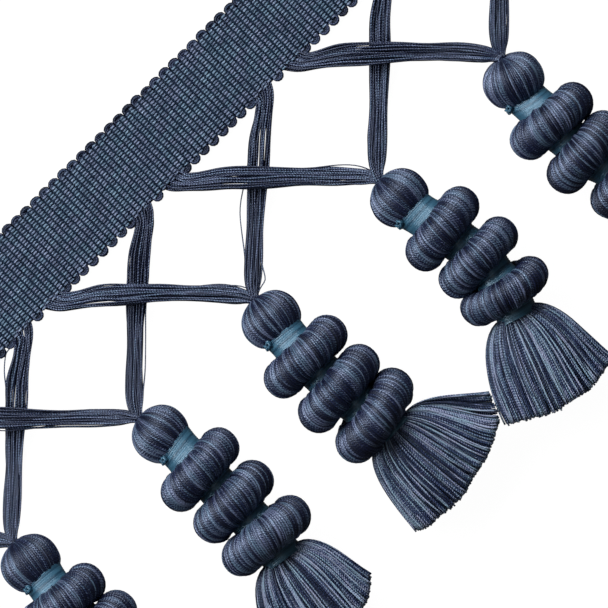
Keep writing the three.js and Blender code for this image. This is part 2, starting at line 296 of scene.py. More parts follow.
def add(tree, kind, settings=(), values=(), links=()):
    """A node of a kind, with settings (attributes), values for its inputs and links into them."""
    node = tree.nodes.new("ShaderNode" + kind)
    for name, value in dict(settings).items():
        setattr(node, name, value)
    for name, value in dict(values).items():
        node.inputs[name].default_value = value
    for name, output in dict(links).items():
        tree.links.new(output, node.inputs[name])
    return node


SCATTER = 200.0  # starts each yarn's twist at a place of its own
DYE_LENGTH = 5.0  # millimetres along a yarn over which its dye drifts
DYE_STEP = 0.37  # step of that drift from a yarn to the next one, small enough for them to look alike
FIBRE_SCALE, FIBRE_SHARE = 2200.0, 0.6  # fineness of the single fibres, and how much they change the shade
# Millimetres before a cut end over which the painted end highlight grows.
END_HIGHLIGHT_LENGTH = 2.0


def yarn_material(name, stops, own, drift, twist, crevice_shade, smoothest, specular=0.9, end_highlight=0.0):
    """Spun two-ply yarn, space-dyed: dark dye under the neutral sheen of smooth fibre.

    Reads the UV map: the whole part of u is the yarn's number, the rest how far round it, and v is
    millimetres along it. Each yarn has its own shade, and a slower one drifts along it and is shared
    with its neighbours, as is a cast between violet and teal. The plies show as slanting bands of
    painted light and shade, one for each half turn of the twist, and start anywhere along it. own,
    drift and twist say how much each of them changes the shade. Paler yarn is smoother, down to a
    roughness of smoothest. The crevices are rough and darkened with painted shade, down to a share of
    the full colour set by crevice_shade. end_highlight is how much paler the last END_HIGHLIGHT_LENGTH
    grows, a painted highlight on yarn whose v is 0 at its cut end.
    """
    material = bpy.data.materials.new(name)
    material.use_nodes = True
    tree = material.node_tree
    shader = tree.nodes["Principled BSDF"]
    shader.inputs["Specular IOR Level"].default_value = specular
    shader.inputs["Specular Tint"].default_value = linear("#ccdcfa")

    uv = add(tree, "UVMap", {"uv_map": "yarn"})
    split = add(tree, "SeparateXYZ", links={0: uv.outputs[0]})
    u, v = split.outputs[0], split.outputs[1]
    number = add(tree, "Math", FLOOR, links={0: u}).outputs[0]
    around = add(tree, "Math", {"operation": "FRACT"}, links={0: u}).outputs[0]

    shade = add(tree, "TexWhiteNoise", {"noise_dimensions": "1D"}, links={"W": number}).outputs[0]
    apart = add(tree, "Math", MULTIPLY, {1: SCATTER}, {0: shade}).outputs[0]
    slow = add(tree, "Math", MULTIPLY, {1: 1 / DYE_LENGTH}, {0: v}).outputs[0]
    shared = add(tree, "Math", MULTIPLY, {1: DYE_STEP}, {0: number}).outputs[0]
    place = add(tree, "CombineXYZ", links={0: slow, 1: shared}).outputs[0]
    dye = add(tree, "TexNoise", values={"Scale": 1.0, "Detail": 2.0}, links={"Vector": place})

    turns = add(tree, "Math", MULTIPLY_ADD, {1: 2 * math.pi / (TWIST / 2)}, {0: v, 2: apart})
    lean = add(tree, "Math", MULTIPLY_ADD, {1: 2 * math.pi}, {0: around, 2: turns.outputs[0]})
    ply = add(tree, "Math", SINE, links={0: lean.outputs[0]}).outputs[0]

    back = add(tree, "Math", MULTIPLY, {1: math.pi}, {0: around})
    crown = add(tree, "Math", SINE, links={0: back.outputs[0]}).outputs[0]

    object_place = add(tree, "TexCoord").outputs["Object"]
    fibre = add(tree, "TexNoise", values={"Scale": FIBRE_SCALE, "Detail": 2.0},
                links={"Vector": object_place})

    whole = add(tree, "Math", MULTIPLY, {1: own}, {0: shade}).outputs[0]
    dyed = add(tree, "Math", MULTIPLY_ADD, {1: drift}, {0: dye.outputs[0], 2: whole})
    # Painted light and shade of the plies: slanting pale and dark bands in the colour.
    dyed_and_ply_shaded = add(tree, "Math", MULTIPLY_ADD, {1: twist}, {0: ply, 2: dyed.outputs[0]})
    fuzzy = add(tree, "Math", MULTIPLY_ADD, {1: FIBRE_SHARE}, {0: fibre.outputs[0], 2: dyed_and_ply_shaded.outputs[0]})
    # Painted highlight on the cut ends: the colour grows paler towards v = 0.
    if end_highlight:
        near_end = add(tree, "MapRange", links={"Value": v},
                       values={"From Min": -END_HIGHLIGHT_LENGTH, "From Max": 0.0, "To Min": 0.0, "To Max": end_highlight})
        fuzzy = add(tree, "Math", {"operation": "ADD"}, links={0: fuzzy.outputs[0], 1: near_end.outputs[0]})
    ramp = add(tree, "ValToRGB", links={0: fuzzy.outputs[0]})
    band = ramp.color_ramp
    band.elements[0].position, band.elements[0].color = stops[0][0], linear(stops[0][1])
    band.elements[1].position, band.elements[1].color = stops[-1][0], linear(stops[-1][1])
    for position, hex_colour in stops[1:-1]:
        band.elements.new(position).color = linear(hex_colour)

    # Painted shade: the colour darkens towards the whole numbers of u, in the grooves between wound yarns
    # and along one side of each round yarn.
    shaded = add(tree, "MapRange", links={"Value": crown},
                 values={"From Min": 0.0, "From Max": 0.7, "To Min": crevice_shade, "To Max": 1.0})
    channels = add(tree, "SeparateColor", links={0: dye.outputs["Color"]})
    cast = add(tree, "ValToRGB", links={0: channels.outputs["Green"]})
    cast.color_ramp.elements[0].position, cast.color_ramp.elements[0].color = 0.38, linear("#fff4fc")
    cast.color_ramp.elements[1].position, cast.color_ramp.elements[1].color = 0.62, linear("#eafcf9")
    times = {"data_type": "RGBA", "blend_type": "MULTIPLY"}
    dyed_fibre = add(tree, "Mix", times, {0: 1.0}, {6: ramp.outputs[0], 7: cast.outputs[0]})
    colour_and_painted_shade = add(tree, "Mix", times, {0: 1.0}, {6: dyed_fibre.outputs[2], 7: shaded.outputs[0]})
    tree.links.new(colour_and_painted_shade.outputs[2], shader.inputs["Base Color"])
    lustre = add(tree, "MapRange", links={"Value": fuzzy.outputs[0]},
                 values={"From Min": stops[0][0], "From Max": stops[-1][0], "To Min": 0.2, "To Max": 1.0})
    gloss = add(tree, "Math", MULTIPLY, links={0: lustre.outputs[0], 1: shaded.outputs[0]})
    rough = add(tree, "MapRange", links={"Value": gloss.outputs[0]},
                values={"From Min": 0.0, "From Max": 0.6, "To Min": 0.6, "To Max": smoothest})
    tree.links.new(rough.outputs[0], shader.inputs["Roughness"])

    relief = add(tree, "Math", MULTIPLY_ADD, {1: 2.0}, {0: fibre.outputs[0], 2: ply})
    bump = add(tree, "Bump", values={"Strength": 0.7, "Distance": 0.00003},
               links={"Height": relief.outputs[0]})
    tree.links.new(bump.outputs[0], shader.inputs["Normal"])
    return material


def satin_material():
    """Filament satin thread wound close: a soft sheen, and each turn its own shade, streaked aslant.

    Reads the UV map: the whole part of v is the turn's number, or on the knot the millimetre, and u
    goes once round.
    """
    material = bpy.data.materials.new("satin_thread")
    material.use_nodes = True
    tree = material.node_tree
    shader = tree.nodes["Principled BSDF"]
    shader.inputs["Roughness"].default_value = 0.34
    shader.inputs["Specular IOR Level"].default_value = 1.0
    shader.inputs["Specular Tint"].default_value = linear("#c8e0f2")
    uv = add(tree, "UVMap", {"uv_map": "yarn"})
    split = add(tree, "SeparateXYZ", links={0: uv.outputs[0]})
    thread = add(tree, "Math", FLOOR, links={0: split.outputs[1]}).outputs[0]
    shade = add(tree, "TexWhiteNoise", {"noise_dimensions": "1D"}, links={"W": thread}).outputs[0]
    round_it = add(tree, "Math", MULTIPLY, {1: 5.0}, {0: split.outputs[0]}).outputs[0]
    across_it = add(tree, "Math", MULTIPLY, {1: 4.0}, {0: split.outputs[1]}).outputs[0]
    aslant = add(tree, "Math", MULTIPLY_ADD, {1: 2.0}, {0: round_it, 2: across_it})
    place = add(tree, "CombineXYZ", links={0: round_it, 1: aslant.outputs[0]}).outputs[0]
    streak = add(tree, "TexNoise", values={"Scale": 1.0, "Detail": 3.0}, links={"Vector": place}).outputs[0]
    mixed = add(tree, "Math", MULTIPLY_ADD, {1: 0.4}, {0: shade, 2: streak}).outputs[0]
    ramp = add(tree, "ValToRGB", links={0: mixed})
    ramp.color_ramp.elements[0].position, ramp.color_ramp.elements[1].position = 0.45, 0.92
    ramp.color_ramp.elements[0].color = linear("#14344a")
    ramp.color_ramp.elements[1].color = linear("#3a647c")
    tree.links.new(ramp.outputs[0], shader.inputs["Base Color"])
    bump = add(tree, "Bump", values={"Strength": 0.5, "Distance": 0.00012}, links={"Height": streak})
    tree.links.new(bump.outputs[0], shader.inputs["Normal"])
    return material


# Shades of the dyed yarn, from where the dye took fully to where it took least.
DYE = [(0.50, "#03041a"), (0.70, "#080c2a"), (0.86, "#1b2442"), (1.00, "#5a6880")]

# Trimming yarn, spun from staple: mottled indigo to slate where the dye took unevenly.
yarn = yarn_material(
    "space_dyed_yarn", DYE,
    own=0.60, drift=0.41, twist=0.12, crevice_shade=0.06, smoothest=0.33, specular=0.84)
# The same yarn lying loose in the hanks, with stronger painted light and shade on the twist of its plies.
hank_yarn = yarn_material(
    "loose_hank_yarn", DYE,
    own=0.36, drift=0.5, twist=0.17, crevice_shade=0.08, smoothest=0.34, specular=0.8)
# The same yarn cut and brushed out, painted paler than the wound yarn, partly for its opened fibre and
# partly as painted light on the brush, with a painted highlight on its cut ends; each strand lies its own
# way.
cut_yarn = yarn_material(
    "brushed_cut_yarn",
    [(0.44, "#070a20"), (0.64, "#1e284a"), (0.83, "#48597e"), (0.98, "#a2b2ca")],
    own=0.70, drift=0.36, twist=0.15, crevice_shade=0.08, smoothest=0.36, end_highlight=0.26)
# The same yarn in the heading, whose short raised warp floats show little of its drift; painted paler than
# the same yarn elsewhere, as painted light on the level floats.
warp = yarn_material(
    "warp_float_yarn",
    [(0.22, "#28303f"), (0.40, "#414e62"), (0.54, "#627389"), (0.72, "#8797ab")],
    own=0.14, drift=0.25, twist=0.05, crevice_shade=0.45, smoothest=0.42)
# Weft yarn where it turns at the edges, packed hard and darker than the floats.
weft = yarn_material(
    "weft_turn_yarn",
    [(0.42, "#06070f"), (0.62, "#14182c"), (0.98, "#38425c")],
    own=0.34, drift=0.5, twist=0.07, crevice_shade=0.12, smoothest=0.4, specular=0.45)
# The woven ground, shaded yarn that shows between the ribs.
ground = yarn_material(
    "heading_ground_weave",
    [(0.2, "#0e1628"), (0.8, "#203248")],
    own=0.1, drift=0.3, twist=0.03, crevice_shade=0.8, smoothest=0.5, specular=0.15)
satin = satin_material()


# -------- heading


def is_hank_place(loop):
    """Whether a loop of the lower edge is left out because a hank leaves the heading there."""
    station = round(loop / LOOPS_PER_REPEAT)
    off = loop - station * LOOPS_PER_REPEAT
    outer = (TASSELS - 1) / 2
    return off != 0 and abs(off) <= LOOPS_PER_HANK and abs(station + math.copysign(1, off)) <= outer


def heading_cloth():
    """The ground of the band: a rounded flat section carried along X.

    Its half thickness swells and sinks with a cosine of one rib's pitch, so that ribs and grooves run
    across the band. Its section is a superellipse: cosine and sine to the power squareness.
    """
    per_rib, around = 4, 14
    half_thickness, rib_swell, squareness = 0.52, 0.16, 0.45
    x = np.linspace(heading_low[0], heading_high[0], RIBS * per_rib + 1)
    angle = np.arange(around) * 2 * np.pi / around
    swell = half_thickness - rib_swell * np.cos(2 * np.pi * (x - x[0]) / RIB_PITCH)
    y = HALF_WIDTH * np.sign(np.cos(angle)) * np.abs(np.cos(angle)) ** squareness
    z = np.sign(np.sin(angle)) * np.abs(np.sin(angle)) ** squareness
    grid = np.empty((len(x), around, 3))
    grid[..., 0] = x[:, None]
    grid[..., 1] = y
    grid[..., 2] = THICKNESS / 2 + swell[:, None] * z
    u = np.linspace(0, WARP_ENDS * 2, around + 1)
    v = np.repeat(x[:, None] - x[0], around + 1, 1)
    points, faces, uv = wound_skin(grid, u, v)
    return make_piece("heading_ground", points, faces, uv, ground, ["heading"], "woven_heading")


def warp_floats(face):
    """Short raised floats of the warp on one face (1 the front, -1 the back): closed lozenges.

    Each has two rings and two tips and covers one rib, and neighbouring ribs are set off by half the
    distance between warp ends.
    """
    rng = np.random.default_rng(11 if face > 0 else 12)
    pitch = 2 * HALF_WIDTH / WARP_ENDS
    rib, end = (a.ravel() for a in np.meshgrid(np.arange(RIBS), np.arange(WARP_ENDS), indexing="ij"))
    count = len(rib)
    middle = np.stack([
        heading_low[0] + (rib + 0.5) * RIB_PITCH + rng.normal(0, 0.03, count),
        -HALF_WIDTH + (end + 0.25 + 0.5 * (rib % 2)) * pitch + rng.normal(0, 0.03, count),
        THICKNESS / 2 + face * (0.66 + rng.normal(0, 0.03, count)),
    ], -1)
    half_length = RIB_PITCH * 0.5 * rng.uniform(0.94, 1.02, count)
    half_width = pitch * 0.47 * rng.uniform(0.85, 1.06, count)
    half_height = 0.46 * rng.uniform(0.88, 1.08, count)
    yaw = rng.normal(0, 0.05, count)
    sides = 4
    angle = np.arange(sides) * 2 * np.pi / sides
    ring = np.stack([np.zeros(sides), np.cos(angle), face * np.sin(angle)], -1)
    tips = [(-1, 0, -0.7 * face), (1, 0, -0.7 * face)]
    shape = np.concatenate([ring + (-0.55, 0, 0), ring + (0.55, 0, 0), tips])
    local = shape[None] * np.stack([half_length, half_width, half_height], -1)[:, None]
    turned = local.copy()
    turned[..., 0] = local[..., 0] * np.cos(yaw)[:, None] - local[..., 1] * np.sin(yaw)[:, None]
    turned[..., 1] = local[..., 0] * np.sin(yaw)[:, None] + local[..., 1] * np.cos(yaw)[:, None]
    points = (middle[:, None] + turned).reshape(-1, 3)
    points[:, 2] = np.maximum(points[:, 2], 0.0)
    s = np.arange(sides)
    after = (s + 1) % sides
    tip = np.full(sides, 2 * sides)
    if face < 0:
        s, after = after, s  # the section is mirrored, so its faces are listed the other way round
    faces = np.concatenate([
        np.stack([s, after, after + sides, s + sides], -1),
        np.stack([after, s, tip, tip], -1),
        np.stack([s + sides, after + sides, tip + 1, tip + 1], -1),
    ])
    u_shape = np.concatenate([ring[:, 1], ring[:, 1], [0], [0]]) * 0.45 + 0.5
    v_shape = shape[:, 0]
    u = end[:, None] + WARP_ENDS * (rib // 2 + RIBS * (face < 0))[:, None] + u_shape[None]
    v = middle[:, :1] - heading_low[0] + v_shape[None] * half_length[:, None]
    uv = np.stack([u, v], -1)[:, faces].reshape(-1, 4, 2)
    offset = (np.arange(count) * len(shape))[:, None, None]
    all_faces = (faces[None] + offset).reshape(-1, 4)
    name = "warp_floats_front" if face > 0 else "warp_floats_back"
    return make_piece(name, points, all_faces, uv, warp, ["heading"], "woven_heading")


def edge_loops():
    """The weft's turns along both edges: four yarns each, every one half an ellipse off the edge.

    Those of the upper edge are pressed flatter, and less evenly.
    """
    rng = np.random.default_rng(21)
    outer = RIBS // (2 * RIBS_PER_LOOP)
    places = [(loop, side) for side in (1, -1) for loop in range(-outer, outer + 1)
              if side > 0 or not is_hank_place(loop)]
    loop, side = (np.array(a, float) for a in zip(*places))
    sweep = np.linspace(-0.18, 1.18, 9) * np.pi
    upper = side[:, None] > 0
    slip = rng.normal(0, 0.1, (len(loop), 1)) + 0 * sweep
    parts = []
    # Half width along the edge, depth off it and height of each yarn of a loop, from the outer one in.
    yarns = [(1.4, 1.25, -0.3), (1.3, 1.12, 0.38), (0.8, 0.68, 0.12), (0.3, 0.3, -0.15)]
    for k, (reach, depth, lift) in enumerate(yarns):
        least, most = np.where(upper, 0.86, 1.0), np.where(upper, 1.2, 1.14)
        stretch = least + (most - least) * rng.uniform(0, 1, upper.shape)
        out = np.where(upper, np.sign(np.sin(sweep)) * np.abs(np.sin(sweep)) ** 0.7, np.sin(sweep))
        x = loop[:, None] * LOOP_PITCH + slip + reach * np.cos(sweep) * np.where(upper, 1.06, 1.0)
        y = side[:, None] * (HALF_WIDTH - 0.1 + depth * stretch * out)
        z = THICKNESS / 2 + lift + rng.normal(0, 0.08, (len(loop), 1)) + 0 * sweep
        paths = np.stack([x, y, z], -1)
        parts.append(yarn_tubes(paths, WEFT / 2, WEFT_NUMBERS * (1 + k)))
    return make_piece("edge_loops", *joined(parts), weft, ["heading"], "woven_heading")


# -------- wound balls and rings


def wound_yarns(rng, count, rows, middle, axis, radius_at, height_at, out_radius, out_height, swirl, relief):
    """Yarns laid side by side over a turned form, from its top to its bottom.

    Each yarn's edge wanders a little from its own meridian. Across a yarn the surface rises as the
    sine of its width to the power 0.6. Whole yarns lie a little higher or lower than others, about one
    in eight is sunk, and about three grooves in ten are deep, where the yarns part. Groups of yarns
    gather into soft swells: a sum of sines with whole numbers of cycles round the form, which lean a
    little from top to bottom. All of this grows shallower where the yarns are tucked in at both ends.
    radius_at and height_at give the form for each row, out_radius and out_height its outward way.
    """
    place = np.linspace(0, 1, rows)
    edge = np.arange(count)[:, None] + rng.uniform(-0.2, 0.2, (count, 1))
    edge = edge + 0.24 * waves(rng, count, place, 1.6)
    proud = 0.12 * waves(rng, count, place, 1.4) + np.where(rng.random((count, 1)) < 0.12, -0.22, 0)
    following = np.concatenate([edge[1:], edge[:1] + count])
    share = np.arange(SIDES_PER_YARN) / SIDES_PER_YARN
    where = edge[:, None] * (1 - share[:, None]) + following[:, None] * share[:, None]
    rise = np.sin(np.pi * share)[:, None] ** 0.6 * relief + proud[:, None]
    groove = np.where(rng.random((count, 1)) < 0.3, 0.4, 0.05)
    rise[:, 0] = np.minimum(proud, np.roll(proud, 1, 0)) - groove
    columns = count * SIDES_PER_YARN
    where = where.reshape(columns, rows).T
    rise = rise.reshape(columns, rows).T
    angle = where * 2 * np.pi / count + (swirl * (place - 0.5))[:, None]
    cycles = rng.integers(7, 26, (5, 1, 1))
    start, lean = rng.uniform(0, 2 * np.pi, (5, 1, 1)), rng.uniform(-1.5, 1.5, (5, 1, 1))
    rise = rise + GATHER * np.sin(cycles * angle + start + lean * place[:, None]).sum(0)
    tucked = np.clip(7 * np.minimum(place, 1 - place), 0.3, 1.0)
    fade = (np.clip(radius_at / NECK, 0.15, 1.0) * tucked)[:, None]
    radius = radius_at[:, None] + rise * out_radius[:, None] * fade
    height = height_at[:, None] + rise * out_height[:, None] * fade
    right, up = across(axis)
    grid = (middle + height[..., None] * axis
            + radius[..., None] * (np.cos(angle)[..., None] * right + np.sin(angle)[..., None] * up))
    grid[..., 2] = np.maximum(grid[..., 2], 0.05)
    length = np.concatenate([[0], np.cumsum(np.hypot(np.diff(radius_at), np.diff(height_at)))])
    u = np.arange(columns + 1) / SIDES_PER_YARN
    return grid, u, np.repeat(length[:, None], columns + 1, 1)


def ring(tassel, number):
    """A fat yarn-covered ring: a round section carried about the tassel's axis, ends closed at the core."""
    node = f"ring_{tassel}_{number}"
    top, bottom = end_face(node, 1)[0], end_face(node, -1)[0]
    middle, axis = (top + bottom) / 2, unit(top - bottom)
    outer, crest = reach_from(node, middle, axis)
    core = outer - crest  # middle of the round section
    sweep = np.linspace(118, -118, 20) * np.pi / 180  # from the core over the crest and back
    radius_at = core + crest * np.cos(sweep)
    height_at = crest * np.sign(np.sin(sweep)) * np.abs(np.sin(sweep)) ** 0.92
    rng = np.random.default_rng(100 + tassel * 10 + number)
    grid, u, v = wound_yarns(rng, RING_YARNS, len(sweep), middle, axis, radius_at - SUNK, height_at,
                             np.cos(sweep), np.sin(sweep), swirl=rng.uniform(0.1, 0.3), relief=0.3)
    piece = wound_skin(grid, u + RING_NUMBERS + WOUND_EACH * (tassel * 4 + number), v)
    return make_piece(f"yarn_ring_{tassel}_{number}", *piece, yarn, [node], "yarn")


BALL_TOP, BALL_BOTTOM = 7.1, 5.8  # from the ball's widest circle up to its pole and down to the neck


def ball_place(tassel):
    """Middle of the ball's widest circle, and the direction of its upper pole."""
    face, down = end_face(f"ball_{tassel}", -1)
    return face - down * BALL_BOTTOM, -down


def ball(tassel):
    """The round head: an ellipse turned about the tassel's axis, from its pole to the bound neck."""
    middle, axis = ball_place(tassel)
    girth = reach_from(f"ball_{tassel}", middle, axis)[0]
    sweep = np.linspace(4, 138, 25) * np.pi / 180
    lower = BALL_BOTTOM / math.sqrt(1 - (NECK / girth) ** 2)
    radius_at = girth * np.sin(sweep)
    height_at = np.cos(sweep) * np.where(sweep < np.pi / 2, BALL_TOP, lower)
    rng = np.random.default_rng(500 + tassel)
    grid, u, v = wound_yarns(rng, BALL_YARNS, len(sweep), middle, axis, radius_at - SUNK, height_at,
                             np.sin(sweep), np.cos(sweep), swirl=rng.uniform(-0.1, 0.2), relief=0.3)
    piece = wound_skin(grid, u + BALL_NUMBERS + WOUND_EACH * tassel, v)
    return make_piece(f"yarn_ball_{tassel}", *piece, yarn, [f"ball_{tassel}"], "yarn")


# -------- bindings

THREAD = 0.52  # between satin threads
TUCK = 0.9  # the winding goes on this far under the yarns at both ends
BINDING_COLUMNS = 40
KNOT_COLUMN = 16  # where the thread's knot lies round the neck, on the upper side


def binding(tassel, number):
    """Satin thread wound round the core between two pieces, straight from one end's circle to the other.

    The surface draws in a little halfway, and a sine of the thread's distance makes each turn's ridge.
    """
    node = f"binding_{tassel}_{number}"
    (top, up_way), (bottom, down_way) = end_face(node, 1), end_face(node, -1)
    top, bottom = top + up_way * TUCK, bottom + down_way * TUCK
    turns = max(6, int(np.linalg.norm(top - bottom) / THREAD))
    share = np.linspace(0, 1, turns * 3 + 1)[:, None, None]
    angle = np.arange(BINDING_COLUMNS) * 2 * np.pi / BINDING_COLUMNS

    def all_round(axis):
        """Unit directions all round, square to an axis."""
        right, up = across(axis)
        return np.cos(angle)[:, None] * right + np.sin(angle)[:, None] * up

    top_way, bottom_way = all_round(up_way), all_round(-down_way)
    thread = share[..., 0] * turns + angle / (2 * np.pi)
    radius = NECK - 0.25 * np.sin(np.pi * share[..., 0]) + 0.1 * np.abs(np.sin(np.pi * thread))
    outward = top_way * (1 - share) + bottom_way * share
    grid = top * (1 - share) + bottom * share + radius[..., None] * outward
    v = np.concatenate([thread, thread[:, :1] + 1], 1)
    parts = [wound_skin(grid, np.linspace(0, 1, BINDING_COLUMNS + 1), v)]
    if number == 1:
        parts.append(thread_knot(top, top - bottom, top_way[KNOT_COLUMN]))
    return make_piece(f"satin_binding_{tassel}_{number}", *joined(parts), satin, [node], "satin_thread")


def thread_knot(top, axis, outward):
    """Small knot where the binding's thread is finished off: two closed turns that wind about.

    Each has a sine along every one of three directions, with 2, 3 and 5 whole cycles.
    """
    t = np.linspace(0, 2 * np.pi, 40)
    phase = np.array([[0.5], [2.1]])
    aside = 1.3 * np.sin(2 * t + phase)
    along = 0.8 * np.sin(3 * t + 2 * phase)
    out = 0.35 * np.cos(5 * t + phase)
    middle = top - unit(axis) * 0.3 + outward * (NECK + 0.5)
    paths = (middle + aside[..., None] * np.cross(unit(axis), outward) + along[..., None] * unit(axis)
             + out[..., None] * outward)
    return yarn_tubes(paths, radius=0.3, first_number=0, sides=6)


# -------- skirts

# left, middle, right and tip are points of the hem, x from the tassel's own station and y from the
# heading's middle line. flare and flick are the degrees that strands turn out at the neck (left and
# right) and at the hem (left, middle and right).
SKIRTS = [
    {"flare": (84, 76), "flick": (2, 0, 4), "left": (-16.8, -127.2), "middle": (-2.4, -131.2),
     "right": (12.8, -126.4), "tip": (12.8, -126.4)},
    {"flare": (90, 70), "flick": (5, 0, 16), "left": (-18.4, -122.2), "middle": (-1.4, -131.4),
     "right": (14.8, -126.0), "tip": (14.8, -126.0)},
    {"flare": (90, 90), "flick": (-3, 11, 58), "left": (-15.2, -126.2), "middle": (3.1, -127.8),
     "right": (25.2, -119.9), "tip": (26.4, -113.4)},
    {"flare": (90, 50), "flick": (-16, -15, 14), "left": (-23.6, -122.5), "middle": (-7.6, -130.9),
     "right": (10.8, -131.2), "tip": (10.8, -131.2)},
    {"flare": (72, 82), "flick": (-1, 5, 11), "left": (-11.4, -127.6), "middle": (5.2, -131.0),
     "right": (20.8, -125.8), "tip": (20.8, -125.8)},
]
HEM_HEIGHT = 15.0
DROOP = 1.05  # power of the share of its length with which a strand's height changes
HUMP = 0.3  # height of the sine that it rises over on its way
WAIST = 1.5  # how much lower the upper strands lie where the binding draws them in
WAIST_REACH = 0.16  # share of the length over which they rise again
TURN_OUT, TURN_IN = 0.3, 0.28  # how far strands keep their way at the neck and the hem
CUT_FROM = 0.9  # from here to the right edge, the strands are cut off towards the tip
# Strands in each layer: how many, share of the neck's radius, and 1 for the upper half, -1 the lower.
STRAND_LAYERS = [(106, 1.0, 1), (64, 0.84, 1), (44, 0.96, -1)]
STRAND_WIDTH = 0.88  # of a drawn-out strand, as a share of the yarn's thickness
INNER_ENDS = 260  # short ends that fill the cut face, each opened out a little
END_WIDTH = 1.25  # of such an end, as a share of the yarn's thickness
GOLDEN_ANGLE = math.pi * (3 - math.sqrt(5))
TIP_PITCH = 0.13  # between the further strands along a cut-off tip
UNDERCUT = 0.012  # share of its length by which a strand halfway down is shorter than the top ones
CLUMPS, CLUMPED = 9.0, 0.45  # clumps in half the width, and how far their strands draw together
CORE_COLUMNS = 24
CORE_LENGTH = 0.93  # of the strands' own, so that the ends hide it
CORE_V_LENGTH, CORE_V_SHORT = 30.0, 4.0  # v along the core: how far it runs, and how far it ends short of 0, so that it gets none of the painted end highlight
ENDS_FROM, CORE_FROM = 250, 520  # where the numbers of the short ends and the core start in a skirt's


def bowed(w, left, middle, right):
    """The parabola through three values at w = -1, 0 and 1."""
    return middle + w * (right - left) / 2 + w**2 * ((left + right) / 2 - middle)


